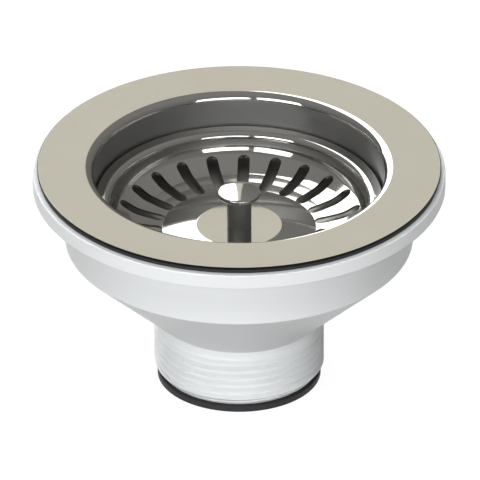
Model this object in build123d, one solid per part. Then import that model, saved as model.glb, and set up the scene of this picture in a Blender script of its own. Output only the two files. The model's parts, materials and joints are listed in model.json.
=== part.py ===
"""Basket strainer waste for a kitchen sink, in millimetres.

The origin is the centre of the underside of the outlet washer, with +Z up the axis.
The basket plug is modelled closed, with its rubber on the seat of the cup.
"""

import os
from math import asin, degrees, hypot, radians, sin, tan

from build123d import *

# Steel rim and cup, one pressed sheet
steel_sheet = 0.8
rim_width = 15.9
rim_bend_radius = 2.3
cup_radius = 41.1
seat_depth = 22.5
seat_width = 4.5
floor_rise = 3.0
floor_bend_radius = 5.0
seat_bend_radius = 4.0
well_depth = 6.3
well_edge_radius = 1.6
well_corner_radius = 1.8

# Drain windows in the floor of the well
window_count = 6
window_width = 4.8
window_bridge = 3.0
window_land = 0.8

# Rubber rings of the rim, the body and the outlet
rim_seal_inset = 0.3
rim_seal_thickness = 1.15
rim_seal_clearance = 0.8
gasket_thickness = 2.4
gasket_margin = 1.4
gasket_land = 1.3
outlet_washer_inset = 0.9
outlet_washer_thickness = 1.95

# White moulded body
body_flange_margin = 1.2
body_flange_thickness = 4.43
body_cup_gap = 4.57
body_wall_height = 16.62
body_wall = 2.6
body_draft = 0.33
cone_height = 24.5

# Outlet, with its right-hand G 1 1/2 thread
outlet_length = 17.15
outlet_wall = 4.4
thread_radius = 23.9
thread_length = 11.6
thread_lead_in = 2.6
thread_lead_in_depth = 2.14
thread_pitch = 25.4 / 11
thread_flank_angle = 27.5
thread_start = 0.5
neck_length = 1.75
neck_depth = 1.2

# Boss inside the body, on its ribs, with the brass insert
boss_radius = 10.0
boss_height = 12.0
boss_clearance = 3.0
rib_count = 3
rib_thickness = 3.2
rib_drop = 1.5
insert_radius = 7.0
insert_length = 10.0

# Hollow centre bolt and its washer
bolt_radius = 4.95
bolt_bore_radius = 3.0
bolt_head_radius = 7.0
bolt_head_height = 2.6
bolt_end = 2.0
bolt_slot_width = 2.0
bolt_slot_depth = 1.2
bolt_seal_radius = 7.6
bolt_seal_thickness = 0.8
thread_clearance = 0.05

# Pressed basket, a chain of bends from the flat middle out to the lip
basket_sheet = 0.7
basket_flat_radius = 12.1
apron_width = 9.5
apron_angle = 6.0
crease_radius = 1.0
dish_width = 7.0
dish_angle = 9.5
knee_radius = 9.9
slope_angle = 32.0
shoulder_radius = 1.0
shoulder_angle = 57.0
wall_radius = 8.5
wall_angle = 88.0
lip_bend_radius = 1.3
lip_width = 2.95
lip_clearance = 0.7

# Slots of the basket
slot_count = 23
slot_width = 3.4
slot_start_angle = 87.7

# Knob
knob_height = 11.5
knob_post_radius = 3.45
knob_cap_radius = 6.0
knob_cap_edge = 1.3
knob_dome = 0.75
knob_edge_radius = 0.5

# Stopper rubber and its backing plate
stopper_radius = 20.5
stopper_overlap = 3.0
stopper_thickness = 3.0
stopper_hub_radius = 12.0
stopper_lip = 1.4
plate_margin = 2.5
plate_thickness = 0.8

# Stem of the plug
stem_radius = 2.7
stem_stud_radius = 2.0
stem_stud_grip = 6.0
stem_collar_radius = 4.5
stem_collar_height = 1.4
stem_length = 18.0
stem_tip_chamfer = 0.8
ring_section = 1.4
ring_height = 6.0
running_clearance = 0.04
stud_clearance = 0.1

# Heights, worked up from the outlet washer to the rim
body_end_z = outlet_washer_thickness
cone_z = body_end_z + outlet_length
neck_z = cone_z - neck_length
wall_z = cone_z + cone_height
flange_z = wall_z + body_wall_height
flange_top_z = flange_z + body_flange_thickness
rim_under_z = flange_top_z + rim_seal_thickness
rim_z = rim_under_z + steel_sheet

# Heights inside, worked down from the rim and up from the seat
seat_z = rim_z - seat_depth
well_z = seat_z - well_depth
well_under_z = well_z - steel_sheet
boss_top_z = well_under_z - boss_clearance
boss_z = boss_top_z - boss_height
insert_z = boss_top_z - insert_length
bolt_head_z = well_z + bolt_seal_thickness
bolt_top_z = bolt_head_z + bolt_head_height
bolt_end_z = boss_z - bolt_end
basket_under_z = seat_z + stopper_thickness
basket_z = basket_under_z + basket_sheet
plate_z = seat_z - plate_thickness
collar_z = plate_z - stem_collar_height
stem_end_z = collar_z - stem_length
gasket_z = flange_top_z - gasket_thickness

# Radii of pieces that fit in, on or round another
seat_inner_radius = stopper_radius - stopper_overlap
well_radius = seat_inner_radius - well_edge_radius
seat_outer_radius = seat_inner_radius + seat_width
plate_radius = well_radius - plate_margin
bolt_hole_radius = bolt_radius + thread_clearance
stud_hole_radius = stem_stud_radius + stud_clearance
cup_outer_radius = cup_radius + steel_sheet
rim_radius = cup_radius + rim_width
rim_seal_radius = rim_radius - rim_seal_inset
rim_seal_inner_radius = cup_radius + rim_bend_radius + rim_seal_clearance
body_flange_radius = rim_radius + body_flange_margin
body_inner_radius = cup_outer_radius + body_cup_gap
body_bottom_radius = body_inner_radius + body_wall
body_top_radius = body_bottom_radius + body_draft
gasket_outer_radius = rim_seal_radius - gasket_margin
gasket_inner_radius = body_inner_radius + gasket_land
outlet_bore_radius = thread_radius - outlet_wall
outlet_washer_radius = thread_radius - outlet_washer_inset
thread_end_radius = thread_radius - thread_lead_in_depth
neck_radius = thread_radius - neck_depth
lip_radius = cup_radius - lip_clearance
dish_flat_radius = basket_flat_radius + apron_width

# Cone of the body: its run for each millimetre of height, and its wall measured level
cone_slope = (body_bottom_radius - neck_radius) / cone_height
cone_wall = body_wall * hypot(1, cone_slope)


def cone_radius(height):
    """Outer radius of the body's cone at a height."""
    return neck_radius + (height - cone_z) * cone_slope


def cone_inner_height(radius):
    """Height at which the inside of the body's cone has a radius."""
    return cone_z + (radius + cone_wall - neck_radius) / cone_slope


def level(angle):
    """Level run of an arc of radius 1 that climbs from the level to an angle in degrees."""
    return sin(radians(angle))


def turned(profile):
    """Solid of revolution of a face drawn as radius and height."""
    return revolve(Plane.XZ * profile, Axis.Z)


def ring(inner, outer, bottom, top):
    """Plain ring, or a disc where the inner radius is nought."""
    outline = [(inner, bottom), (outer, bottom), (outer, top), (inner, top)]
    return turned(make_face(Polyline(*outline, close=True)))


def pressed(line, thickness):
    """Sheet of even thickness below a line drawn from the axis outwards."""
    return turned(make_face(offset(line, thickness, side=Side.RIGHT)))


def make_strainer_flange():
    """Rim and cup: well with drain windows, flat seat, sloping floor, wall and rim."""
    line = FilletPolyline(
        (bolt_hole_radius, well_z),
        (well_radius, well_z),
        (well_radius, seat_z),
        (seat_outer_radius, seat_z),
        (cup_radius, seat_z + floor_rise),
        (cup_radius, rim_z),
        (rim_radius, rim_z),
        radius=[
            well_corner_radius,
            well_edge_radius,
            seat_bend_radius,
            floor_bend_radius,
            rim_bend_radius,
        ],
    )
    cup = pressed(line, steel_sheet)
    middle = bolt_seal_radius + window_land + window_width / 2
    sweep = 360 / window_count - degrees((window_width + window_bridge) / middle)
    window = SlotArc(CenterArc((0, 0), middle, -sweep / 2, sweep), window_width)
    windows = PolarLocations(0, window_count) * window
    return cup - extrude(Pos(0, 0, well_under_z) * Sketch(children=windows), steel_sheet)


def make_rim_seal():
    """Rubber ring between the rim and the body's flange."""
    return ring(rim_seal_inner_radius, rim_seal_radius, flange_top_z, rim_under_z)


def make_body_gasket():
    """Rubber ring in the groove of the body's flange."""
    return ring(gasket_inner_radius, gasket_outer_radius, gasket_z, flange_top_z)


def make_thread_groove():
    """Groove between the thread's turns, from below the outlet's end up to its neck."""
    flank = tan(radians(thread_flank_angle))
    root_radius = neck_radius + thread_clearance
    mouth_radius = thread_radius + thread_clearance
    root_half = (thread_pitch / 2 - (thread_radius - root_radius) * flank) / 2
    mouth_half = root_half + (mouth_radius - root_radius) * flank
    start_z = body_end_z - thread_start
    end_z = neck_z + mouth_half
    outline = [
        (start_z - root_half, root_radius),
        (start_z - mouth_half, mouth_radius),
        (start_z + mouth_half, mouth_radius),
        (start_z + root_half, root_radius),
    ]
    section = Plane.ZX * make_face(Polyline(*outline, close=True))
    turns = Helix(thread_pitch, end_z - start_z, root_radius, center=(0, 0, start_z))
    return sweep(section, turns, is_frenet=True)


def make_outlet():
    """Threaded pipe below the neck, tapered at both ends of its thread."""
    thread_z = body_end_z + thread_lead_in
    outline = [
        (outlet_bore_radius, body_end_z),
        (thread_end_radius, body_end_z),
        (thread_radius, thread_z),
        (thread_radius, thread_z + thread_length),
        (neck_radius, neck_z),
        (outlet_bore_radius, neck_z),
    ]
    pipe = ring(outlet_bore_radius, thread_radius, body_end_z, neck_z)
    tapered = turned(make_face(Polyline(*outline, close=True)))
    return (pipe - make_thread_groove()) & tapered


def make_body_shell():
    """Neck, cone, wall and flange of the body."""
    outside = [
        (neck_radius, neck_z),
        (neck_radius, cone_z),
        (body_bottom_radius, wall_z),
        (body_top_radius, flange_z),
        (body_flange_radius, flange_z),
        (body_flange_radius, flange_top_z),
    ]
    inside = [
        (body_inner_radius, flange_top_z),
        (body_inner_radius, cone_inner_height(body_inner_radius)),
        (outlet_bore_radius, cone_inner_height(outlet_bore_radius)),
        (outlet_bore_radius, neck_z),
    ]
    return turned(make_face(Polyline(*outside, *inside, close=True)))


def make_rib():
    """One rib from the boss to the middle of the cone's wall."""
    top_z = boss_top_z - rib_drop
    root = boss_radius - rib_thickness / 2
    outline = [
        (root, boss_z),
        (cone_radius(boss_z) - cone_wall / 2, boss_z),
        (cone_radius(top_z) - cone_wall / 2, top_z),
        (root, top_z),
    ]
    side = Plane.XZ * make_face(Polyline(*outline, close=True))
    return extrude(side, rib_thickness / 2, both=True)


def make_waste_body():
    """White moulding: shell and outlet, a boss on ribs inside and a groove in the flange."""
    body = make_body_shell() + make_outlet() + ring(0, boss_radius, boss_z, boss_top_z)
    body += [place * make_rib() for place in PolarLocations(0, rib_count)]
    body -= ring(0, insert_radius, insert_z, boss_top_z)
    body -= ring(0, bolt_hole_radius, boss_z, insert_z)
    return body - make_body_gasket()


def make_threaded_insert():
    """Brass bush that the bolt screws into."""
    return ring(bolt_hole_radius, insert_radius, insert_z, boss_top_z)


def make_fixing_bolt():
    """Hollow bolt with a slotted head."""
    bolt = ring(bolt_bore_radius, bolt_radius, bolt_end_z, bolt_head_z)
    bolt += ring(bolt_bore_radius, bolt_head_radius, bolt_head_z, bolt_top_z)
    slot = Box(2 * bolt_head_radius, bolt_slot_width, 2 * bolt_slot_depth)
    return bolt - Pos(0, 0, bolt_top_z) * slot


def make_bolt_seal():
    """Rubber washer between the bolt's head and the well."""
    return ring(bolt_hole_radius, bolt_seal_radius, well_z, bolt_head_z)


def make_outlet_washer():
    """Rubber washer on the end of the outlet."""
    return ring(outlet_bore_radius, outlet_washer_radius, 0, body_end_z)


def basket_line():
    """Top line of the basket out to the lip's edge, and the radius where its slope ends."""
    apron_drop = apron_width * tan(radians(apron_angle))
    shoulder_run = shoulder_radius * (level(shoulder_angle) - level(slope_angle))
    wall_run = wall_radius * (level(wall_angle) - level(shoulder_angle))
    bend_run = lip_bend_radius * level(wall_angle)
    slope_end_radius = lip_radius - lip_width - bend_run - wall_run - shoulder_run
    flat_edge = (basket_flat_radius, basket_z)
    flat = Line((stud_hole_radius, basket_z), flat_edge)
    apron = Line(flat_edge, (dish_flat_radius, basket_z - apron_drop))
    crease = JernArc(apron @ 1, apron % 1, crease_radius, apron_angle + dish_angle)
    dish = Line(crease @ 1, (crease @ 1) + (crease % 1) * dish_width)
    knee = JernArc(dish @ 1, dish % 1, knee_radius, slope_angle - dish_angle)
    slope_length = (slope_end_radius - (knee @ 1).X) / (knee % 1).X
    slope = Line(knee @ 1, (knee @ 1) + (knee % 1) * slope_length)
    shoulder = JernArc(slope @ 1, slope % 1, shoulder_radius, shoulder_angle - slope_angle)
    wall = JernArc(shoulder @ 1, shoulder % 1, wall_radius, wall_angle - shoulder_angle)
    bend = JernArc(wall @ 1, wall % 1, lip_bend_radius, -wall_angle)
    lip = Line(bend @ 1, (lip_radius, (bend @ 1).Y))
    hollow = [flat, apron, crease, dish, knee, slope]
    return Curve() + [*hollow, shoulder, wall, bend, lip], slope_end_radius


def make_basket():
    """Pressed dish: flat middle, hollow with slots, steep wall and flat lip."""
    line, slope_end_radius = basket_line()
    length = slope_end_radius - dish_flat_radius
    slots = PolarLocations(dish_flat_radius + length / 2, slot_count, slot_start_angle)
    cutter = extrude(SlotOverall(length, slot_width), rim_z)
    return pressed(line, basket_sheet) - [place * cutter for place in slots]


def make_knob():
    """Turned knob: post, cap with a domed top, and a tapped hole for the stem."""
    top_z = basket_z + knob_height
    edge_top_z = top_z - knob_dome
    edge_z = edge_top_z - knob_cap_edge
    dome_radius = (knob_cap_radius**2 + knob_dome**2) / (2 * knob_dome)
    dome = JernArc((0, top_z), (1, 0), dome_radius, -degrees(asin(knob_cap_radius / dome_radius)))
    outline = Polyline(
        dome @ 1,
        (knob_cap_radius, edge_z),
        (knob_post_radius, edge_z),
        (knob_post_radius, basket_z),
        (0, basket_z),
        dome @ 0,
    )
    profile = make_face(Curve() + [dome, outline])
    corners = profile.vertices().group_by(Axis.X)
    profile = fillet(corners[-1], knob_edge_radius)
    knob = turned(profile)
    return knob - ring(0, stem_stud_radius, basket_z, basket_z + stem_stud_grip)


def make_stopper_seal():
    """Rubber disc with a thick middle and a lip that closes on the seat."""
    outline = [
        (stud_hole_radius, seat_z),
        (stopper_radius, seat_z),
        (stopper_radius, seat_z + stopper_lip),
        (stopper_hub_radius, basket_under_z),
        (stud_hole_radius, basket_under_z),
    ]
    return turned(make_face(Polyline(*outline, close=True)))


def make_stopper_plate():
    """Steel disc under the rubber."""
    return ring(stud_hole_radius, plate_radius, plate_z, seat_z)


def make_stem():
    """Pin with a stud for the knob, a collar under the plate and a groove for its ring."""
    groove_radius = bolt_bore_radius - running_clearance - ring_section
    groove_z = stem_end_z + ring_height
    tip_radius = stem_radius - stem_tip_chamfer
    outline = [
        (0, stem_end_z),
        (tip_radius, stem_end_z),
        (stem_radius, stem_end_z + stem_tip_chamfer),
        (stem_radius, groove_z - ring_section / 2),
        (groove_radius, groove_z - ring_section / 2),
        (groove_radius, groove_z + ring_section / 2),
        (stem_radius, groove_z + ring_section / 2),
        (stem_radius, collar_z),
        (stem_collar_radius, collar_z),
        (stem_collar_radius, plate_z),
        (stem_stud_radius, plate_z),
        (stem_stud_radius, basket_z + stem_stud_grip),
        (0, basket_z + stem_stud_grip),
    ]
    return turned(make_face(Polyline(*outline, close=True)))


def make_stem_o_ring():
    """Rubber ring in the stem's groove, a running fit in the bolt's bore."""
    ring_radius = bolt_bore_radius - running_clearance - ring_section / 2
    return Pos(0, 0, stem_end_z + ring_height) * Torus(ring_radius, ring_section / 2)


def main():
    os.makedirs("parts", exist_ok=True)
    pieces = {
        "strainer_flange": make_strainer_flange(),
        "rim_seal": make_rim_seal(),
        "body_gasket": make_body_gasket(),
        "waste_body": make_waste_body(),
        "threaded_insert": make_threaded_insert(),
        "fixing_bolt": make_fixing_bolt(),
        "bolt_seal": make_bolt_seal(),
        "outlet_washer": make_outlet_washer(),
        "basket": make_basket(),
        "knob": make_knob(),
        "stopper_seal": make_stopper_seal(),
        "stopper_plate": make_stopper_plate(),
        "stem": make_stem(),
        "stem_o_ring": make_stem_o_ring(),
    }
    for name, piece in pieces.items():
        export_step(piece, f"parts/{name}.step")


main()
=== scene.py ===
"""Looks of a basket strainer sink waste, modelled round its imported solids.

Lengths are in metres, in the frame of the solids: +Z runs up the axis from the outlet
to the rim, and the camera stands on the -Y side.
"""

import json
from math import atan2, ceil, cos, hypot, pi, radians, sin, tan

import bpy
from bpy.props import FloatProperty, FloatVectorProperty, IntProperty, PointerProperty
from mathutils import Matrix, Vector

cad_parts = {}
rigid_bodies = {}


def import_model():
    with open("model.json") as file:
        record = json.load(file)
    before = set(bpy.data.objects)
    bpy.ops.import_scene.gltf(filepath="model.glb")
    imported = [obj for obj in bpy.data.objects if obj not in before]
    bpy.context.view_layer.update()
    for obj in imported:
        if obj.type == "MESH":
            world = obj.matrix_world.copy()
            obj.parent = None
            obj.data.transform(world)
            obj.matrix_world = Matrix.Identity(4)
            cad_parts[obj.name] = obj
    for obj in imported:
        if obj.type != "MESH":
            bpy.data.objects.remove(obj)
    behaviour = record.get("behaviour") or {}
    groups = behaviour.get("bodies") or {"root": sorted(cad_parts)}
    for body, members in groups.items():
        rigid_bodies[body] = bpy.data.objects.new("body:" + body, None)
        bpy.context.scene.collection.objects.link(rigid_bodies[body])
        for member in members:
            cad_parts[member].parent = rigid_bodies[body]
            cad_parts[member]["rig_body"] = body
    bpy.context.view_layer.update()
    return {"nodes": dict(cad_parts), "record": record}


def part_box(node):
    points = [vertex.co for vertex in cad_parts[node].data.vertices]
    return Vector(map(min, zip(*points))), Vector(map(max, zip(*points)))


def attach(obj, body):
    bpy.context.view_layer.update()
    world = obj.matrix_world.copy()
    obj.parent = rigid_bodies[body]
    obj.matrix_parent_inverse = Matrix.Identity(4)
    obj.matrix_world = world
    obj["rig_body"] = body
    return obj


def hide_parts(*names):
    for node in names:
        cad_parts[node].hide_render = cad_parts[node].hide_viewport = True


bl_info = {
    "name": "Sink waste",
    "version": (1, 0, 0),
    "blender": (4, 5, 0),
    "location": "3D View > Sidebar > Sink waste",
    "description": "Models the pieces of a basket strainer sink waste and lights them",
    "category": "Object",
}

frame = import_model()

MM = 0.001
FULL_TURN = 2 * pi

# Meshing: turns are divided this finely, and straight runs get a point beside each bend
ROUND_STEPS = 240
FINE_STEPS = 128
STEPS_PER_SLOT = 10
DOME_STEPS = 10
END_STEPS = 16
ARC_STEP = radians(5)
BEND_SUPPORT = 0.15 * MM
MERGE_DISTANCE = 0.002 * MM
LONG_RUN = 6 * BEND_SUPPORT
STRAIGHT_TURN = radians(0.5)
SMOOTH_ANGLE = radians(32)

# Standard pipe thread of the outlet: pitch, depth, and depth of the sharp form it is cut from
THREAD_PITCH = 25.4 * MM / 11
THREAD_DEPTH = 0.640327 * THREAD_PITCH
THREAD_SHARP_DEPTH = 0.960491 * THREAD_PITCH
THREAD_ROWS = 18
THREAD_CRISPNESS = 9


def box_radius(node):
    """Outer radius of a turned solid about the axis."""
    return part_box(node)[1].x


def box_bottom(node):
    """Height of a solid's lowest point."""
    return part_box(node)[0].z


def box_top(node):
    """Height of a solid's highest point."""
    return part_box(node)[1].z


def length(name, description, default):
    """A size in metres that the sidebar shows."""
    return FloatProperty(name=name, description=description, default=default, unit="LENGTH",
                         precision=5)


def colour(name, description, default):
    """A colour that the sidebar shows."""
    return FloatVectorProperty(name=name, description=description, default=default, size=3,
                               subtype="COLOR", min=0.0, max=1.0)


class WasteSteelSizes(bpy.types.PropertyGroup):
    """Sizes of the pressed and turned steel pieces."""

    cup_sheet: length("Cup sheet", "Thickness of the rim and cup", 0.8 * MM)
    cup_radius: length("Cup radius", "Inner radius of the cup's wall", 41.1 * MM)
    rim_bend: length("Rim bend", "Radius of the bend from wall to rim", 2.3 * MM)
    seat_depth: length("Seat depth", "Depth of the stopper's seat below the rim", 22.5 * MM)
    seat_inner: length("Seat inner radius", "Inner edge of the stopper's seat", 15.9 * MM)
    seat_outer: length("Seat outer radius", "Outer edge of the stopper's seat", 22.0 * MM)
    floor_rise: length("Floor rise", "Rise of the cup's floor to its wall", 3.0 * MM)
    floor_bend: length("Floor bend", "Radius of the bend from floor to wall", 5.0 * MM)
    seat_bend: length("Seat bend", "Radius of the bend from seat to floor", 4.0 * MM)
    well_depth: length("Well depth", "Depth of the well below the seat", 6.3 * MM)
    well_edge: length("Well edge", "Rounding of the well's edge", 1.6 * MM)
    well_corner: length("Well corner", "Rounding of the well's corner", 1.8 * MM)
    bolt_hole: length("Bolt hole", "Radius of the hole for the bolt", 5.0 * MM)
    window_middle: length("Window middle", "Radius of the windows' middle line", 10.8 * MM)
    window_width: length("Window width", "Radial width of a drain window", 4.8 * MM)
    window_bridge: length("Window bridge", "Metal left between two windows", 3.0 * MM)
    window_count: IntProperty(name="Windows", description="Drain windows in the well",
                              default=6, min=1)
    sheet_edge: length("Sheet edge", "Rounding of cut sheet edges", 0.2 * MM)
    basket_sheet: length("Basket sheet", "Thickness of the basket", 0.7 * MM)
    basket_flat: length("Basket flat", "Radius of the basket's flat middle", 12.1 * MM)
    stud_hole: length("Stud hole", "Radius of the hole for the stem", 2.1 * MM)
    apron_width: length("Apron width", "Width of the apron round the flat", 9.5 * MM)
    crease_radius: length("Crease radius", "Bend from apron to dish", 1.0 * MM)
    dish_hollow: length("Dish hollow", "Slight hollow of the slotted dish", 57.0 * MM)
    knee_radius: length("Knee radius", "Bend from dish to slope", 9.9 * MM)
    shoulder_radius: length("Shoulder radius", "Bend from slope to wall", 1.0 * MM)
    wall_radius: length("Wall radius", "Hollow of the steep wall", 7.9 * MM)
    lip_bend: length("Lip bend", "Bend from wall to lip", 1.8 * MM)
    lip_width: length("Lip width", "Width of the flat lip", 2.45 * MM)
    slot_width: length("Slot width", "Width of a basket slot", 3.4 * MM)
    slot_count: IntProperty(name="Slots", description="Slots round the basket", default=23,
                            min=1)
    knob_post: length("Knob post", "Radius of the knob's post", 3.45 * MM)
    knob_edge: length("Knob edge", "Height of the cap's straight edge", 1.3 * MM)
    knob_dome: length("Knob dome", "Rise of the cap's domed top", 0.75 * MM)
    knob_rounding: length("Knob rounding", "Rounding of the cap's edges", 0.5 * MM)
    knob_fillet: length("Knob fillet", "Fillet from post to cap", 0.3 * MM)
    seal_clearance: length("Seal clearance", "From the rim's bend to its seal", 0.8 * MM)


class WasteBodySizes(bpy.types.PropertyGroup):
    """Sizes of the white body and the rubber rings."""

    flange_thickness: length("Flange thickness", "Thickness of the body's flange", 4.43 * MM)
    wall_height: length("Wall height", "Height of the body's upright wall", 16.62 * MM)
    wall_radius: length("Wall radius", "Outer radius of the wall at the cone", 49.07 * MM)
    wall_draft: length("Wall draft", "Spread of the wall towards the flange", 0.33 * MM)
    wall: length("Wall", "Thickness of the body's wall", 2.6 * MM)
    gasket_land: length("Gasket land", "Flange left inside the gasket's groove", 1.3 * MM)
    cone_height: length("Cone height", "Height of the cone", 24.5 * MM)
    neck_radius: length("Neck radius", "Plain neck between cone and thread", 22.7 * MM)
    neck_length: length("Neck length", "Length of the plain neck", 1.75 * MM)
    thread_radius: length("Thread radius", "Radius over the thread's crests", 23.9 * MM)
    thread_length: length("Thread length", "Length of full thread", 11.6 * MM)
    lead_in: length("Lead in", "Height of the tapered start", 2.6 * MM)
    end_radius: length("End radius", "Radius of the outlet's end", 21.76 * MM)
    crest_height: length("Crest height", "Height of a crest at the front", 6.645 * MM)
    bore_radius: length("Bore radius", "Radius of the outlet's bore", 19.5 * MM)
    edge_rounding: length("Edge rounding", "Rounding of the moulding's edges", 0.35 * MM)
    boss_radius: length("Boss radius", "Radius of the boss inside", 10.0 * MM)
    boss_height: length("Boss height", "Height of the boss inside", 12.0 * MM)
    boss_hole: length("Boss hole", "Radius of the hole below the insert", 5.0 * MM)
    rib_count: IntProperty(name="Ribs", description="Ribs that hold the boss", default=3, min=1)
    rib_thickness: length("Rib thickness", "Thickness of the boss's ribs", 3.2 * MM)
    rib_drop: length("Rib drop", "Step from boss down to ribs", 1.5 * MM)
    rubber_edge: length("Rubber edge", "Rounding of rubber edges", 0.25 * MM)


class WasteFinishes(bpy.types.PropertyGroup):
    """Colours of the materials; the satin colour and the cut edge's colour are painted shade."""

    steel: colour("Steel", "Polished stainless steel", (0.66, 0.65, 0.62))
    # Painted shade: darker colour laid on the cup's wall above the basket, the basket's upper wall
    # and the knob's post.
    shaded_satin: colour("Satin", "Steel left satin inside the cup", (0.36, 0.36, 0.36))
    # Painted shade: near-black colour laid on the rim's outer cut edge and its rounding, over its
    # highlight.
    painted_edge_shade: colour("Sheared", "Steel's cut edge", (0.015, 0.015, 0.016))
    rubber: colour("Rubber", "Black moulded rubber", (0.022, 0.022, 0.024))
    plastic: colour("Plastic", "White moulded plastic", (0.82, 0.84, 0.85))
    brass: colour("Brass", "Turned brass", (0.72, 0.55, 0.25))


# Outlines, drawn as radius and height

def rounded(corners, radii):
    """Closed outline through corners, each replaced by an arc of its radius."""
    outline = []
    count = len(corners)
    for i, radius in enumerate(radii):
        corner = Vector(corners[i])
        before = (Vector(corners[i - 1]) - corner).normalized()
        after = (Vector(corners[(i + 1) % count]) - corner).normalized()
        turn = pi - before.angle(after)
        if radius <= 0 or turn < STRAIGHT_TURN:
            outline.append(corner)
            continue
        reach = radius * tan(turn / 2)
        start, end = corner + before * reach, corner + after * reach
        centre = corner + (before + after).normalized() * radius / cos(turn / 2)
        steps = max(2, ceil(turn / ARC_STEP))
        first = start - centre
        side = 1 if before.x * after.y - before.y * after.x < 0 else -1
        for step in range(steps + 1):
            outline.append(centre + swung(first, side * turn * step / steps))
    return supported(outline)


def swung(arm, angle):
    """A flat arm turned anticlockwise by an angle."""
    return Vector((
        arm.x * cos(angle) - arm.y * sin(angle),
        arm.x * sin(angle) + arm.y * cos(angle),
    ))


def supported(outline):
    """The outline with a point beside each end of its long straight runs."""
    points = []
    for i, point in enumerate(outline):
        points.append(point)
        run = outline[(i + 1) % len(outline)] - point
        if run.length > LONG_RUN:
            step = run.normalized() * BEND_SUPPORT
            points += [point + step, point + run - step]
    return points


def bent_line(start, level_run, moves):
    """Corners and radii of a line that starts level and goes on in bends and runs."""
    corners, radii = [Vector(start)], [0.0]
    heading = 0.0
    place = corners[0] + Vector((level_run, 0))
    for radius, angle, run in moves:
        tangent = radius * tan(abs(angle - heading) / 2)
        place = place + Vector((cos(heading), sin(heading))) * tangent
        corners.append(place)
        radii.append(radius)
        heading = angle
        place = place + Vector((cos(heading), sin(heading))) * (tangent + run)
    corners.append(place)
    radii.append(0.0)
    return corners, radii


def sheet_outline(corners, radii, thickness, edge):
    """Closed outline of a bent sheet of even thickness, below a line drawn outwards."""
    corners = [Vector(corner) for corner in corners]
    headings = [(b - a).normalized() for a, b in zip(corners, corners[1:])]
    rights = [Vector((heading.y, -heading.x)) for heading in headings]
    under, under_radii = [], []
    for i, corner in enumerate(corners):
        first = rights[max(i - 1, 0)]
        second = rights[min(i, len(rights) - 1)]
        under.append(corner + (first + second) * thickness / (1 + first.dot(second)))
        climbs = first.x * second.y - first.y * second.x > 0
        under_radii.append(radii[i] + (thickness if climbs else -thickness))
    over_radii = [edge, *radii[1:-1], edge]
    under_radii = [edge, *under_radii[1:-1], edge]
    return rounded(corners + under[::-1], over_radii + under_radii[::-1])


# Modelling steps shared by the pieces

def deselect_all():
    """Leaves object mode with nothing selected."""
    if bpy.context.object and bpy.context.object.mode != "OBJECT":
        bpy.ops.object.mode_set(mode="OBJECT")
    bpy.ops.object.select_all(action="DESELECT")


def turned(name, outline, steps):
    """Piece turned about the axis from a closed outline of radius and height."""
    deselect_all()
    bpy.ops.mesh.primitive_circle_add(vertices=len(outline), radius=1, fill_type="NOTHING")
    piece = bpy.context.object
    piece.name = piece.data.name = name
    for vertex, (radius, height) in zip(piece.data.vertices, outline):
        vertex.co = (radius, 0, height)
    bpy.ops.object.mode_set(mode="EDIT")
    bpy.ops.mesh.select_all(action="SELECT")
    bpy.ops.mesh.spin(steps=steps, angle=FULL_TURN, center=(0, 0, 0), axis=(0, 0, 1))
    close_seams()
    bpy.ops.object.mode_set(mode="OBJECT")
    return piece


def close_seams():
    """Merges what coincides in edit mode and turns all faces outwards."""
    bpy.ops.mesh.select_all(action="SELECT")
    bpy.ops.mesh.remove_doubles(threshold=MERGE_DISTANCE)
    bpy.ops.mesh.dissolve_degenerate(threshold=MERGE_DISTANCE)
    bpy.ops.mesh.delete_loose()
    bpy.ops.mesh.select_all(action="SELECT")
    bpy.ops.mesh.normals_make_consistent(inside=False)


def combine(piece, other, operation):
    """Cuts or joins a piece with another, which is then deleted."""
    deselect_all()
    bpy.context.view_layer.objects.active = piece
    piece.select_set(True)
    boolean = piece.modifiers.new(operation.title(), "BOOLEAN")
    boolean.object = other
    boolean.operation = operation
    boolean.solver = "EXACT"
    bpy.ops.object.modifier_apply(modifier=boolean.name)
    bpy.data.objects.remove(other)


def joined(pieces):
    """One object of several."""
    deselect_all()
    for piece in pieces:
        piece.select_set(True)
    bpy.context.view_layer.objects.active = pieces[0]
    bpy.ops.object.join()
    return pieces[0]


def finish_piece(piece, material, node):
    """Shades a piece, gives it its finish and seats it in place of its solid."""
    deselect_all()
    bpy.context.view_layer.objects.active = piece
    piece.select_set(True)
    bpy.ops.object.shade_smooth_by_angle(angle=SMOOTH_ANGLE)
    piece.data.materials.clear()
    piece.data.materials.append(material)
    body = frame["nodes"][node]["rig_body"]
    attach(piece, body)
    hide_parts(node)


# Materials

# A satin band, with a band of painted shade in the darker colour, starts below the part of a bend
# that is polished, over a short fade
SATIN_AND_SHADE_FADE = 0.5 * MM
BEND_SHOWN = 0.77
# A noise mostly keeps between these limits
NOISE_LOW = 0.3
NOISE_HIGH = 0.7


def new_material(name):
    """Material with a fresh shader and the piece's own coordinates."""
    material = bpy.data.materials.get(name)
    if material:
        return material, None, None, None
    material = bpy.data.materials.new(name)
    material.use_nodes = True
    nodes = material.node_tree.nodes
    nodes.clear()
    output = nodes.new("ShaderNodeOutputMaterial")
    shader = nodes.new("ShaderNodeBsdfPrincipled")
    place = nodes.new("ShaderNodeTexCoord")
    material.node_tree.links.new(shader.outputs["BSDF"], output.inputs["Surface"])
    return material, shader, place.outputs["Object"], material.node_tree


def add_noise(tree, vector, scale, detail):
    """Noise texture on given coordinates."""
    noise = tree.nodes.new("ShaderNodeTexNoise")
    noise.inputs["Scale"].default_value = scale
    noise.inputs["Detail"].default_value = detail
    tree.links.new(vector, noise.inputs["Vector"])
    return noise.outputs["Fac"]


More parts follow.
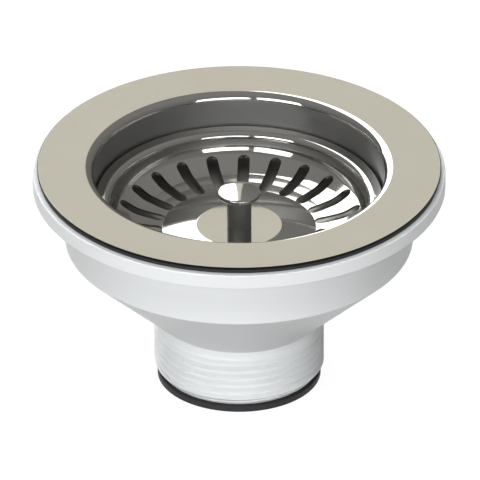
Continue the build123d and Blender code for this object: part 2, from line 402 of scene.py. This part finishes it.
def add_range(tree, value, low, high):
    """Value of a noise spread between two limits."""
    spread = tree.nodes.new("ShaderNodeMapRange")
    spread.inputs["From Min"].default_value = NOISE_LOW
    spread.inputs["From Max"].default_value = NOISE_HIGH
    spread.inputs["To Min"].default_value = low
    spread.inputs["To Max"].default_value = high
    tree.links.new(value, spread.inputs["Value"])
    return spread.outputs["Result"]


def add_tint(tree, value, base, shade):
    """Base colour that a noise darkens by a share."""
    ramp = tree.nodes.new("ShaderNodeValToRGB")
    ramp.color_ramp.elements[0].position = NOISE_LOW
    ramp.color_ramp.elements[1].position = NOISE_HIGH
    ramp.color_ramp.elements[0].color = (*[part * (1 - shade) for part in base], 1)
    ramp.color_ramp.elements[1].color = (*base, 1)
    tree.links.new(value, ramp.inputs["Fac"])
    return ramp.outputs["Color"]


def add_bump(tree, value, strength, distance):
    """Bump from a noise."""
    bump = tree.nodes.new("ShaderNodeBump")
    bump.inputs["Strength"].default_value = strength
    bump.inputs["Distance"].default_value = distance
    tree.links.new(value, bump.inputs["Height"])
    return bump.outputs["Normal"]


def polishing_lines(tree, place):
    """Coordinates that follow the marks of a polishing mop round the axis."""
    split = tree.nodes.new("ShaderNodeSeparateXYZ")
    tree.links.new(place, split.inputs["Vector"])
    flat = tree.nodes.new("ShaderNodeCombineXYZ")
    tree.links.new(split.outputs["X"], flat.inputs["X"])
    tree.links.new(split.outputs["Y"], flat.inputs["Y"])
    radius = tree.nodes.new("ShaderNodeVectorMath")
    radius.operation = "LENGTH"
    tree.links.new(flat.outputs["Vector"], radius.inputs[0])
    lines = tree.nodes.new("ShaderNodeCombineXYZ")
    tree.links.new(radius.outputs["Value"], lines.inputs["X"])
    tree.links.new(split.outputs["Z"], lines.inputs["Y"])
    return lines.outputs["Vector"]


def polished_steel():
    """Stainless steel with fine polishing lines round the axis."""
    material, shader, place, tree = new_material("polished_steel_finish")
    if shader:
        tint, gloss = polish(tree, place)
        shader.inputs["Metallic"].default_value = 1
        tree.links.new(tint, shader.inputs["Base Color"])
        tree.links.new(gloss, shader.inputs["Roughness"])
    return material


def polish(tree, place):
    """Colour and roughness of polished steel."""
    finish = bpy.context.scene.waste_finishes
    lines = add_noise(tree, polishing_lines(tree, place), scale=3500, detail=2)
    cloud = add_noise(tree, place, scale=60, detail=3)
    tint = add_tint(tree, cloud, finish.steel, shade=0.03)
    return tint, add_range(tree, lines, low=0.05, high=0.09)


def polished_steel_with_painted_shade(name, top, dark_end, satin_end, fade, edge_shade_radius=None):
    """Polished steel with a band of painted shade in a darker satin colour below a height, satin
    roughness below another height, and painted near-black shade beyond a cut edge.
    """
    material, shader, place, tree = new_material(name)
    if shader:
        finish = bpy.context.scene.waste_finishes
        tint, gloss = polish(tree, place)
        cloud = add_noise(tree, place, scale=90, detail=3)
        shaded_satin = add_range(tree, cloud, low=0.5, high=0.58)
        # Painted shade: the darker satin colour, mixed in between top and dark_end.
        dark = add_tint(tree, cloud, finish.shaded_satin, shade=0.06)
        tint = add_mix(tree, "RGBA", add_band(tree, place, top, dark_end, fade), tint, dark)
        gloss = add_mix(tree, "FLOAT", add_band(tree, place, top, satin_end, fade), gloss, shaded_satin)
        if edge_shade_radius:
            # Painted shade: near black on the sheet beyond the cut edge's radius, with satin
            # roughness.
            beyond = add_edge_shade_mask(tree, place, edge_shade_radius)
            painted_edge_shade = add_tint(tree, cloud, finish.painted_edge_shade, shade=0.2)
            tint = add_mix(tree, "RGBA", beyond, tint, painted_edge_shade)
            gloss = add_mix(tree, "FLOAT", beyond, gloss, shaded_satin)
        shader.inputs["Metallic"].default_value = 1
        tree.links.new(tint, shader.inputs["Base Color"])
        tree.links.new(gloss, shader.inputs["Roughness"])
    return material


def add_mix(tree, kind, share, first, second):
    """Mix of two colours or two values by a share."""
    mix = tree.nodes.new("ShaderNodeMix")
    mix.data_type = kind
    inputs = [socket for socket in mix.inputs if socket.enabled]
    for source, socket in zip((share, first, second), inputs):
        tree.links.new(source, socket)
    return next(socket for socket in mix.outputs if socket.enabled)


def add_band(tree, place, top, bottom, fade):
    """Share that is one between two heights, with a short fade above and a given one below."""
    split = tree.nodes.new("ShaderNodeSeparateXYZ")
    tree.links.new(place, split.inputs["Vector"])
    band = tree.nodes.new("ShaderNodeMath")
    band.operation = "SUBTRACT"
    for height, run, socket in zip((top, bottom), (SATIN_AND_SHADE_FADE, fade), band.inputs):
        below = tree.nodes.new("ShaderNodeMapRange")
        below.inputs["From Min"].default_value = height - run
        below.inputs["From Max"].default_value = height
        below.inputs["To Min"].default_value = 1
        below.inputs["To Max"].default_value = 0
        tree.links.new(split.outputs["Z"], below.inputs["Value"])
        tree.links.new(below.outputs["Result"], socket)
    return band.outputs["Value"]


def add_edge_shade_mask(tree, place, radius):
    """Share that is one beyond a radius, where the sheet was cut and near-black shade is painted."""
    split = tree.nodes.new("ShaderNodeSeparateXYZ")
    tree.links.new(polishing_lines(tree, place), split.inputs["Vector"])
    beyond = tree.nodes.new("ShaderNodeMath")
    beyond.operation = "GREATER_THAN"
    beyond.inputs[1].default_value = radius
    tree.links.new(split.outputs["X"], beyond.inputs[0])
    return beyond.outputs["Value"]


def black_rubber():
    """Matt moulded rubber with a fine grain."""
    material, shader, place, tree = new_material("black_rubber_finish")
    if shader:
        finish = bpy.context.scene.waste_finishes
        grain = add_noise(tree, place, scale=1800, detail=4)
        cloud = add_noise(tree, place, scale=120, detail=3)
        tint = add_tint(tree, cloud, finish.rubber, shade=0.25)
        gloss = add_range(tree, cloud, low=0.5, high=0.62)
        bump = add_bump(tree, grain, strength=0.12, distance=0.05 * MM)
        shader.inputs["Specular IOR Level"].default_value = 0.35
        tree.links.new(tint, shader.inputs["Base Color"])
        tree.links.new(gloss, shader.inputs["Roughness"])
        tree.links.new(bump, shader.inputs["Normal"])
    return material


def white_plastic():
    """Satin moulded plastic with a faint flow in its colour."""
    material, shader, place, tree = new_material("white_plastic_finish")
    if shader:
        finish = bpy.context.scene.waste_finishes
        grain = add_noise(tree, place, scale=1500, detail=3)
        cloud = add_noise(tree, place, scale=40, detail=3)
        tint = add_tint(tree, cloud, finish.plastic, shade=0.02)
        gloss = add_range(tree, cloud, low=0.36, high=0.42)
        bump = add_bump(tree, grain, strength=0.04, distance=0.04 * MM)
        shader.inputs["IOR"].default_value = 1.49
        tree.links.new(tint, shader.inputs["Base Color"])
        tree.links.new(gloss, shader.inputs["Roughness"])
        tree.links.new(bump, shader.inputs["Normal"])
    return material


def turned_brass():
    """Brass with turning lines round the axis."""
    material, shader, place, tree = new_material("turned_brass_finish")
    if shader:
        finish = bpy.context.scene.waste_finishes
        lines = add_noise(tree, polishing_lines(tree, place), scale=2500, detail=2)
        tint = add_tint(tree, lines, finish.brass, shade=0.12)
        gloss = add_range(tree, lines, low=0.22, high=0.34)
        shader.inputs["Metallic"].default_value = 1
        tree.links.new(tint, shader.inputs["Base Color"])
        tree.links.new(gloss, shader.inputs["Roughness"])
    return material


# Pieces

class WASTE_OT_steel_cup(bpy.types.Operator):
    """Model the steel rim and cup from one pressed sheet"""

    bl_idname = "waste.steel_cup"
    bl_label = "Rim and cup"

    def execute(self, context):
        sizes = context.scene.waste_steel
        rim_z = box_top("strainer_flange")
        seat_z = rim_z - sizes.seat_depth
        well_z = seat_z - sizes.well_depth
        corners = [
            (sizes.bolt_hole, well_z),
            (sizes.seat_inner, well_z),
            (sizes.seat_inner, seat_z),
            (sizes.seat_outer, seat_z),
            (sizes.cup_radius, seat_z + sizes.floor_rise),
            (sizes.cup_radius, rim_z),
            (box_radius("strainer_flange"), rim_z),
        ]
        radii = [
            0,
            sizes.well_corner,
            sizes.well_edge,
            sizes.seat_bend,
            sizes.floor_bend,
            sizes.rim_bend,
            0,
        ]
        outline = sheet_outline(corners, radii, sizes.cup_sheet, sizes.sheet_edge)
        cup = turned("steel_rim_and_cup", outline, ROUND_STEPS)
        combine(cup, drain_windows(sizes, well_z), "DIFFERENCE")
        # Painted shade: the darker satin colour on the cup's wall from the rim's bend down to the
        # basket's lip, and near black on the rim's cut edge.
        bend_end = rim_z - BEND_SHOWN * sizes.rim_bend
        lip_z = box_top("basket")
        edge_shade_radius = box_radius("strainer_flange") - sizes.sheet_edge
        steel = polished_steel_with_painted_shade("cup_steel_and_painted_shade", bend_end, lip_z, well_z, lip_z - seat_z,
                                    edge_shade_radius)
        finish_piece(cup, steel, "strainer_flange")
        return {"FINISHED"}


def drain_windows(sizes, well_z):
    """Cutter of kidney-shaped windows round the well's middle."""
    reach = FULL_TURN / sizes.window_count
    reach -= (sizes.window_width + sizes.window_bridge) / sizes.window_middle
    cutters = []
    for index in range(sizes.window_count):
        middle = FULL_TURN * index / sizes.window_count
        cutters.append(kidney(sizes, middle - reach / 2, middle + reach / 2, well_z))
    return joined(cutters)


def kidney(sizes, start, end, well_z):
    """Upright bar bent round the axis, with round ends."""
    half = sizes.window_width / 2
    outline = []
    for side, first, last in ((1, start, end), (-1, end, start)):
        for step in range(END_STEPS + 1):
            angle = first + (last - first) * step / END_STEPS
            radius = sizes.window_middle + side * half
            outline.append(Vector((radius * cos(angle), radius * sin(angle))))
        tip = Vector((cos(last), sin(last))) * sizes.window_middle
        arm = outline[-1] - tip
        outline += [tip + swung(arm, pi * step / END_STEPS) for step in range(1, END_STEPS)]
    deselect_all()
    bpy.ops.mesh.primitive_circle_add(vertices=len(outline), radius=1, fill_type="NGON")
    cutter = bpy.context.object
    base_z, climb = well_z - 2 * sizes.cup_sheet, 3 * sizes.cup_sheet
    for vertex, point in zip(cutter.data.vertices, outline):
        vertex.co = (point.x, point.y, base_z)
    bpy.ops.object.mode_set(mode="EDIT")
    bpy.ops.mesh.select_all(action="SELECT")
    bpy.ops.mesh.extrude_region_move(TRANSFORM_OT_translate={"value": (0, 0, climb)})
    bpy.ops.mesh.select_all(action="SELECT")
    bpy.ops.mesh.normals_make_consistent(inside=False)
    bpy.ops.object.mode_set(mode="OBJECT")
    return cutter


class WASTE_OT_basket(bpy.types.Operator):
    """Model the pressed basket and cut its ring of slots"""

    bl_idname = "waste.basket"
    bl_label = "Slotted basket"

    apron_angle: FloatProperty(name="Apron angle", description="Fall of the apron",
                               default=radians(-6), subtype="ANGLE")
    dish_angle: FloatProperty(name="Dish angle", description="Climb at the slots' inner ends",
                              default=radians(5), subtype="ANGLE")
    knee_angle: FloatProperty(name="Knee angle", description="Climb at the knee's start",
                              default=radians(12), subtype="ANGLE")
    slope_angle: FloatProperty(name="Slope angle", description="Climb at the slots' outer ends",
                               default=radians(30), subtype="ANGLE")
    shoulder_angle: FloatProperty(name="Shoulder angle", description="Climb at the wall's foot",
                                  default=radians(57), subtype="ANGLE")
    wall_angle: FloatProperty(name="Wall angle", description="Climb at the wall's top",
                              default=radians(88), subtype="ANGLE")
    slot_start: FloatProperty(name="Slot start", description="Place of the first slot",
                              default=radians(87.7), subtype="ANGLE")

    def execute(self, context):
        sizes = context.scene.waste_steel
        dish_start = sizes.basket_flat + sizes.apron_width
        slope_end = box_radius("basket") - sizes.lip_width
        slope_end -= sizes.lip_bend * sin(self.wall_angle)
        slope_end -= sizes.wall_radius * (sin(self.wall_angle) - sin(self.shoulder_angle))
        slope_end -= sizes.shoulder_radius * (sin(self.shoulder_angle) - sin(self.slope_angle))
        knee_end = dish_start + sizes.knee_radius * (sin(self.slope_angle) - sin(self.knee_angle))
        knee_end += sizes.crease_radius * (sin(self.dish_angle) - sin(self.apron_angle))
        knee_end += sizes.dish_hollow * (sin(self.knee_angle) - sin(self.dish_angle))
        moves = [
            (0, self.apron_angle, sizes.apron_width / cos(self.apron_angle)),
            (sizes.crease_radius, self.dish_angle, 0),
            (sizes.dish_hollow, self.knee_angle, 0),
            (sizes.knee_radius, self.slope_angle, (slope_end - knee_end) / cos(self.slope_angle)),
            (sizes.shoulder_radius, self.shoulder_angle, 0),
            (sizes.wall_radius, self.wall_angle, 0),
            (sizes.lip_bend, 0, sizes.lip_width),
        ]
        start = (sizes.stud_hole, box_bottom("knob"))
        corners, radii = bent_line(start, sizes.basket_flat - sizes.stud_hole, moves)
        outline = sheet_outline(corners, radii, sizes.basket_sheet, sizes.sheet_edge)
        basket = turned("slotted_basket", outline, STEPS_PER_SLOT * sizes.slot_count)
        combine(basket, self.slots(sizes, dish_start, slope_end), "DIFFERENCE")
        # Painted shade: the darker satin colour on the basket's upper wall, below the lip's bend, in
        # place of its reflections.
        lip_end = box_top("basket") - BEND_SHOWN * sizes.lip_bend
        wall_end = lip_end - sizes.lip_bend
        steel = polished_steel_with_painted_shade("basket_steel_and_painted_shade", lip_end, wall_end, wall_end, SATIN_AND_SHADE_FADE)
        finish_piece(basket, steel, "basket")
        return {"FINISHED"}

    def slots(self, sizes, inner, outer):
        """Cutter of round-ended bars, set evenly round the axis."""
        half = sizes.slot_width / 2
        span = outer - inner - sizes.slot_width
        height = box_top("basket") - box_bottom("basket")
        cutters = []
        for index in range(sizes.slot_count):
            angle = self.slot_start + FULL_TURN * index / sizes.slot_count
            out = Vector((cos(angle), sin(angle), 0))
            foot = out * (inner + half) + Vector((0, 0, box_bottom("basket") + height / 2))
            cutters.append(slot_bar(foot, out * span, half, 2 * height, angle))
        return joined(cutters)


def slot_bar(foot, reach, half, height, angle):
    """Upright bar with round ends, stretched from its foot."""
    deselect_all()
    bpy.ops.mesh.primitive_cylinder_add(vertices=2 * END_STEPS, radius=half, depth=height,
                                        location=foot, rotation=(0, 0, angle))
    bar = bpy.context.object
    bpy.ops.object.transform_apply(location=True, rotation=True, scale=True)
    for vertex in bar.data.vertices:
        if (vertex.co - foot).dot(reach) > MERGE_DISTANCE * reach.length:
            vertex.co += reach
    return bar


class WASTE_OT_knob(bpy.types.Operator):
    """Model the turned knob"""

    bl_idname = "waste.knob"
    bl_label = "Knob"

    def execute(self, context):
        sizes = context.scene.waste_steel
        radius = box_radius("knob")
        top_z, foot_z = box_top("knob"), box_bottom("knob")
        edge_top_z = top_z - sizes.knob_dome
        edge_z = edge_top_z - sizes.knob_edge
        dome_radius = (radius**2 + sizes.knob_dome**2) / (2 * sizes.knob_dome)
        dome = []
        for step in range(DOME_STEPS):
            out = radius * step / DOME_STEPS
            dome.append((out, top_z - dome_radius + (dome_radius**2 - out**2) ** 0.5))
        corners = dome + [
            (radius, edge_top_z),
            (radius, edge_z),
            (sizes.knob_post, edge_z),
            (sizes.knob_post, foot_z),
            (0, foot_z),
        ]
        radii = [0] * DOME_STEPS + [sizes.knob_rounding, sizes.knob_rounding, sizes.knob_fillet, 0, 0]
        knob = turned("lift_knob", rounded(corners, radii), FINE_STEPS)
        # Painted shade: the darker satin colour on the post below the cap.
        steel = polished_steel_with_painted_shade("knob_steel_and_painted_shade", edge_z, foot_z, foot_z, SATIN_AND_SHADE_FADE)
        finish_piece(knob, steel, "knob")
        return {"FINISHED"}


class WASTE_OT_white_body(bpy.types.Operator):
    """Model the white body with its threaded outlet"""

    bl_idname = "waste.white_body"
    bl_label = "White body"

    def execute(self, context):
        sizes = context.scene.waste_body
        body = turned("white_body", self.outline(sizes), ROUND_STEPS)
        cut_thread(body, sizes)
        combine(body, boss_on_ribs(sizes), "UNION")
        finish_piece(body, white_plastic(), "waste_body")
        return {"FINISHED"}

    def outline(self, sizes):
        """Closed outline of the shell, with close rows where the thread is cut."""
        end_z = box_bottom("waste_body")
        top_z = box_top("waste_body")
        flange_z = top_z - sizes.flange_thickness
        wall_z = flange_z - sizes.wall_height
        inner = sizes.wall_radius - sizes.wall
        groove_z, gasket_outer = box_bottom("body_gasket"), box_radius("body_gasket")
        gasket_inner = inner + sizes.gasket_land
        flange_radius = box_radius("waste_body")
        edge = sizes.edge_rounding
        corners = [
            (sizes.neck_radius, neck_height(sizes)),
            (sizes.wall_radius, wall_z),
            (sizes.wall_radius + sizes.wall_draft, flange_z),
            (flange_radius, flange_z),
            (flange_radius, top_z),
            (gasket_outer, top_z),
            (gasket_outer, groove_z),
            (gasket_inner, groove_z),
            (gasket_inner, top_z),
            (inner, top_z),
            (inner, cone_inner_height(sizes, inner)),
            (sizes.bore_radius, cone_inner_height(sizes, sizes.bore_radius)),
            (sizes.bore_radius, end_z),
        ]
        radii = [0, 2 * edge, edge, edge, edge] + [0] * 8
        shell = rounded(corners, radii)
        return [Vector(point) for point in outlet_rows(sizes)] + shell


def outlet_envelope(sizes, height):
    """Radius of the outlet before its thread is cut, at a height."""
    end_z, full_z, run_out_z, plain_z = thread_heights(sizes)
    if height < full_z:
        share = (height - end_z) / sizes.lead_in
        return sizes.end_radius + (sizes.thread_radius - sizes.end_radius) * share
    if height < run_out_z:
        return sizes.thread_radius
    share = min(1, (height - run_out_z) / (plain_z - run_out_z))
    return sizes.thread_radius + (sizes.neck_radius - sizes.thread_radius) * share


def thread_heights(sizes):
    """Heights of the outlet's end, the full thread's ends and the thread's last trace."""
    end_z = box_bottom("waste_body")
    full_z = end_z + sizes.lead_in
    return end_z, full_z, full_z + sizes.thread_length, neck_height(sizes) - sizes.neck_length


def neck_height(sizes):
    """Height where the cone starts."""
    top_z = box_top("waste_body")
    return top_z - sizes.flange_thickness - sizes.wall_height - sizes.cone_height


def outlet_rows(sizes):
    """Points up the outlet, close enough together for the thread."""
    end_z = box_bottom("waste_body")
    rise = neck_height(sizes) - end_z
    rows = round(rise / THREAD_PITCH * THREAD_ROWS)
    heights = [end_z + rise * row / rows for row in range(rows)]
    return [(outlet_envelope(sizes, height), height) for height in heights]


def cone_spread(sizes):
    """Gain of the cone's radius for each unit of height, and its wall measured level."""
    slope = (sizes.wall_radius - sizes.neck_radius) / sizes.cone_height
    return slope, sizes.wall * hypot(1, slope)


def cone_inner_height(sizes, radius):
    """Height at which the inside of the cone has a radius."""
    slope, level_wall = cone_spread(sizes)
    return neck_height(sizes) + (radius + level_wall - sizes.neck_radius) / slope


def thread_form(turns):
    """Thread's rise from root to crest, from 0 to 1, at a count of turns from a crest."""
    away = abs((turns + 0.5) % 1 - 0.5)
    steep = THREAD_SHARP_DEPTH / THREAD_DEPTH
    rise = steep * (1 - 4 * away)
    limit = steep / (1 + steep**THREAD_CRISPNESS) ** (1 / THREAD_CRISPNESS)
    soft = rise / (1 + abs(rise) ** THREAD_CRISPNESS) ** (1 / THREAD_CRISPNESS)
    return 0.5 + 0.5 * soft / limit


def cut_thread(body, sizes):
    """Moves the outlet's outer rows inwards along a right-hand helix."""
    run_out_z, plain_z = thread_heights(sizes)[2:]
    run_out = plain_z - run_out_z + THREAD_PITCH / 4
    bore_limit = (sizes.bore_radius + sizes.end_radius) / 2
    for vertex in body.data.vertices:
        radius = hypot(vertex.co.x, vertex.co.y)
        height = vertex.co.z
        if height > plain_z or radius < bore_limit:
            continue
        turn = (atan2(vertex.co.y, vertex.co.x) + pi / 2) / FULL_TURN
        form = thread_form((height - sizes.crest_height) / THREAD_PITCH - turn)
        cut = max(0, radius - (sizes.thread_radius - THREAD_DEPTH * (1 - form)))
        fade = min(1, max(0, (plain_z - height) / run_out))
        scale = (radius - cut * fade) / radius
        vertex.co.x *= scale
        vertex.co.y *= scale


def boss_on_ribs(sizes):
    """Boss for the brass insert, with ribs that reach into the cone's wall."""
    insert_lower, insert_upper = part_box("threaded_insert")
    boss_top = insert_upper.z
    boss_z = boss_top - sizes.boss_height
    outline = [
        (sizes.boss_hole, boss_z),
        (sizes.boss_radius, boss_z),
        (sizes.boss_radius, boss_top),
        (insert_upper.x, boss_top),
        (insert_upper.x, insert_lower.z),
        (sizes.boss_hole, insert_lower.z),
    ]
    boss = turned("boss", rounded(outline, [0] * len(outline)), FINE_STEPS)
    for index in range(sizes.rib_count):
        angle = FULL_TURN * index / sizes.rib_count
        combine(boss, rib(sizes, boss_z, boss_top, angle), "UNION")
    return boss


def rib(sizes, bottom_z, boss_top, angle):
    """Upright rib from the boss to the middle of the cone's wall."""
    neck_z = neck_height(sizes)
    slope, level_wall = cone_spread(sizes)
    top_z = boss_top - sizes.rib_drop
    deselect_all()
    bpy.ops.mesh.primitive_cube_add(size=1)
    plate = bpy.context.object
    for vertex in plate.data.vertices:
        height = top_z if vertex.co.z > 0 else bottom_z
        outside = sizes.neck_radius + (height - neck_z) * slope - level_wall / 2
        out = outside if vertex.co.x > 0 else sizes.boss_radius - sizes.rib_thickness / 2
        side = vertex.co.y * sizes.rib_thickness
        vertex.co = (
            out * cos(angle) - side * sin(angle),
            out * sin(angle) + side * cos(angle),
            height,
        )
    return plate


class WASTE_OT_rubber_rings(bpy.types.Operator):
    """Model the rubber rings that show"""

    bl_idname = "waste.rubber_rings"
    bl_label = "Rubber rings"

    def execute(self, context):
        steel, body = context.scene.waste_steel, context.scene.waste_body
        seal_inner = steel.cup_radius + steel.rim_bend + steel.seal_clearance
        for name, node, inner in (
            ("rim_rubber", "rim_seal", seal_inner),
            ("outlet_rubber", "outlet_washer", body.bore_radius),
        ):
            lower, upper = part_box(node)
            corners = [
                (inner, lower.z),
                (upper.x, lower.z),
                (upper.x, upper.z),
                (inner, upper.z),
            ]
            outline = rounded(corners, [body.rubber_edge] * len(corners))
            ring = turned(name, outline, ROUND_STEPS)
            finish_piece(ring, black_rubber(), node)
        return {"FINISHED"}


class WASTE_OT_inner_fittings(bpy.types.Operator):
    """Give the solids that stay as they are their finishes"""

    bl_idname = "waste.inner_fittings"
    bl_label = "Inner fittings"

    def execute(self, context):
        finishes = {
            "polished_steel": polished_steel,
            "black_rubber": black_rubber,
            "white_plastic": white_plastic,
            "brass": turned_brass,
        }
        for part in frame["record"]["subparts"]:
            solid = frame["nodes"][part["node"]]
            if solid.hide_render:
                continue
            solid.data.materials.clear()
            solid.data.materials.append(finishes[part["material_slot"]]())
        return {"FINISHED"}


# Stage

SOFTBOX_DISTANCE = 6.0
FILL_SIDE = 3.0
FILL_HEIGHT = 2.5
FLOOR_SIZE = 30.0
FLOOR_GREY = (0.1, 0.1, 0.1, 1)
FLOOR_GLOW = 0.95
WALLS_LEVEL = (0.16, 0.155, 0.145, 1)
WALLS_OVERHEAD = (0.27, 0.27, 0.265, 1)
CAMERA_HEIGHT = radians(30)
FRAME_WIDTH = 135.36 * MM
AIM = Vector((0.24 * MM, 0, 42.8 * MM))


def softbox(name, azimuths, heights, radiance, tint=(1, 1, 1), mirrored=True):
    """Upright lamp between two azimuths and heights, in degrees clockwise from +Y and up."""
    start, end = (radians(angle) for angle in azimuths)
    middle = (start + end) / 2
    width = 2 * SOFTBOX_DISTANCE * tan((end - start) / 2)
    low, high = (SOFTBOX_DISTANCE * tan(radians(angle)) for angle in heights)
    out = Vector((sin(middle), cos(middle), 0))
    lamp_object = area_lamp(name, width, high - low, radiance, tint, mirrored)
    lamp_object.location = out * SOFTBOX_DISTANCE + Vector((0, 0, (low + high) / 2))
    lamp_object.rotation_mode = "QUATERNION"
    lamp_object.rotation_quaternion = (-out).to_track_quat("-Z", "Y")


def overhead_fill(radiance):
    """Wide lamp above that lights matt surfaces and leaves no mark in the steel."""
    lamp_object = area_lamp("overhead_fill", FILL_SIDE, FILL_SIDE, radiance, (1, 1, 1), False)
    lamp_object.location = (0, 0, FILL_HEIGHT)


def area_lamp(name, width, height, radiance, tint, mirrored):
    """Lamp of an even radiance, hidden from the camera and, unless mirrored, from the steel."""
    lamp = bpy.data.lights.new(name, "AREA")
    lamp.shape = "RECTANGLE"
    lamp.size, lamp.size_y = width, height
    lamp.energy = radiance * pi * width * height
    lamp.color = tint
    lamp_object = bpy.data.objects.new(name, lamp)
    lamp_object.visible_camera = False
    lamp_object.visible_glossy = mirrored
    bpy.context.scene.collection.objects.link(lamp_object)
    return lamp_object


def pale_floor():
    """White floor that keeps a soft shadow of the waste."""
    deselect_all()
    floor_z = box_bottom("outlet_washer")
    bpy.ops.mesh.primitive_plane_add(size=FLOOR_SIZE, location=(0, 0, floor_z))
    floor = bpy.context.object
    floor.name = "floor"
    material = bpy.data.materials.new("pale_floor")
    material.use_nodes = True
    tree = material.node_tree
    tree.nodes.clear()
    output = tree.nodes.new("ShaderNodeOutputMaterial")
    matt = tree.nodes.new("ShaderNodeBsdfDiffuse")
    matt.inputs["Color"].default_value = FLOOR_GREY
    glow = tree.nodes.new("ShaderNodeEmission")
    tree.links.new(seen_directly(tree, FLOOR_GLOW), glow.inputs["Strength"])
    both = tree.nodes.new("ShaderNodeAddShader")
    tree.links.new(matt.outputs["BSDF"], both.inputs[0])
    tree.links.new(glow.outputs["Emission"], both.inputs[1])
    tree.links.new(both.outputs["Shader"], output.inputs["Surface"])
    floor.data.materials.append(material)


def seen_directly(tree, share):
    """A share for rays that show a surface, straight or in a mirror, and nought for the rest."""
    path = tree.nodes.new("ShaderNodeLightPath")
    total = path.outputs["Is Camera Ray"]
    for other in ("Is Glossy Ray", "Is Transmission Ray"):
        most = tree.nodes.new("ShaderNodeMath")
        most.operation = "MAXIMUM"
        tree.links.new(total, most.inputs[0])
        tree.links.new(path.outputs[other], most.inputs[1])
        total = most.outputs["Value"]
    scaled = tree.nodes.new("ShaderNodeMath")
    scaled.operation = "MULTIPLY"
    scaled.inputs[1].default_value = share
    tree.links.new(total, scaled.inputs[0])
    return scaled.outputs["Value"]


def studio_walls():
    """Dim grey surroundings that the steel mirrors, lighter overhead."""
    world = bpy.data.worlds.new("studio_walls")
    bpy.context.scene.world = world
    world.use_nodes = True
    tree = world.node_tree
    background = tree.nodes["Background"]
    place = tree.nodes.new("ShaderNodeTexCoord")
    split = tree.nodes.new("ShaderNodeSeparateXYZ")
    tree.links.new(place.outputs["Generated"], split.inputs["Vector"])
    ramp = tree.nodes.new("ShaderNodeValToRGB")
    ramp.color_ramp.elements[0].position = 0.0
    ramp.color_ramp.elements[0].color = WALLS_LEVEL
    ramp.color_ramp.elements[1].position = 1.0
    ramp.color_ramp.elements[1].color = WALLS_OVERHEAD
    tree.links.new(split.outputs["Z"], ramp.inputs["Fac"])
    tree.links.new(ramp.outputs["Color"], background.inputs["Color"])


def level_camera():
    """Camera with parallel rays, above the -Y side."""
    lens = bpy.data.cameras.new("camera")
    lens.type = "ORTHO"
    lens.ortho_scale = FRAME_WIDTH
    camera = bpy.data.objects.new("camera", lens)
    back = Vector((0, -cos(CAMERA_HEIGHT), sin(CAMERA_HEIGHT)))
    camera.location = AIM + back
    camera.rotation_mode = "QUATERNION"
    camera.rotation_quaternion = (-back).to_track_quat("-Z", "Y")
    bpy.context.scene.collection.objects.link(camera)
    bpy.context.scene.camera = camera


class WASTE_OT_stage(bpy.types.Operator):
    """Set the floor, the lamps, the surroundings and the camera"""

    bl_idname = "waste.stage"
    bl_label = "Stage"

    def execute(self, context):
        context.scene.view_settings.view_transform = "Standard"
        pale_floor()
        studio_walls()
        softbox("back_softbox", azimuths=(-46, -2), heights=(5, 58), radiance=3.0)
        softbox("back_strip", azimuths=(-2, 2), heights=(8, 55), radiance=0.57, tint=(1, 0.95, 0.79))
        softbox("right_window", azimuths=(148, 188), heights=(1, 25), radiance=2.8)
        softbox("left_window", azimuths=(193.5, 227), heights=(3, 28), radiance=4.0)
        softbox("front_key", azimuths=(165, 220), heights=(6, 22), radiance=3.6, mirrored=False)
        softbox("top_key", azimuths=(145, 215), heights=(51, 64), radiance=3.8, mirrored=False)
        overhead_fill(radiance=0.6)
        level_camera()
        return {"FINISHED"}


class WASTE_PT_sidebar(bpy.types.Panel):
    """Pieces and sizes of the sink waste"""

    bl_idname = "WASTE_PT_sidebar"
    bl_label = "Sink waste"
    bl_space_type = "VIEW_3D"
    bl_region_type = "UI"
    bl_category = "Sink waste"

    def draw(self, context):
        scene = context.scene
        for operator in OPERATORS:
            self.layout.operator(operator.bl_idname)
        for group in (scene.waste_steel, scene.waste_body, scene.waste_finishes):
            box = self.layout.box()
            for name in group.bl_rna.properties.keys():
                if name not in ("rna_type", "name"):
                    box.prop(group, name)


OPERATORS = (
    WASTE_OT_steel_cup,
    WASTE_OT_basket,
    WASTE_OT_knob,
    WASTE_OT_white_body,
    WASTE_OT_rubber_rings,
    WASTE_OT_inner_fittings,
    WASTE_OT_stage,
)
GROUPS = {
    "waste_steel": WasteSteelSizes,
    "waste_body": WasteBodySizes,
    "waste_finishes": WasteFinishes,
}


def register():
    """Adds the property groups, the operators and the panel."""
    for name, group in GROUPS.items():
        bpy.utils.register_class(group)
        setattr(bpy.types.Scene, name, PointerProperty(type=group))
    for entry in (*OPERATORS, WASTE_PT_sidebar):
        bpy.utils.register_class(entry)


def unregister():
    """Takes them away again."""
    for entry in (WASTE_PT_sidebar, *reversed(OPERATORS)):
        bpy.utils.unregister_class(entry)
    for name, group in GROUPS.items():
        delattr(bpy.types.Scene, name)
        bpy.utils.unregister_class(group)


def main():
    """Makes every piece and the stage."""
    register()
    bpy.ops.waste.steel_cup()
    bpy.ops.waste.basket()
    bpy.ops.waste.knob()
    bpy.ops.waste.white_body()
    bpy.ops.waste.rubber_rings()
    bpy.ops.waste.inner_fittings()
    bpy.ops.waste.stage()


if __name__ == "__main__":
    main()
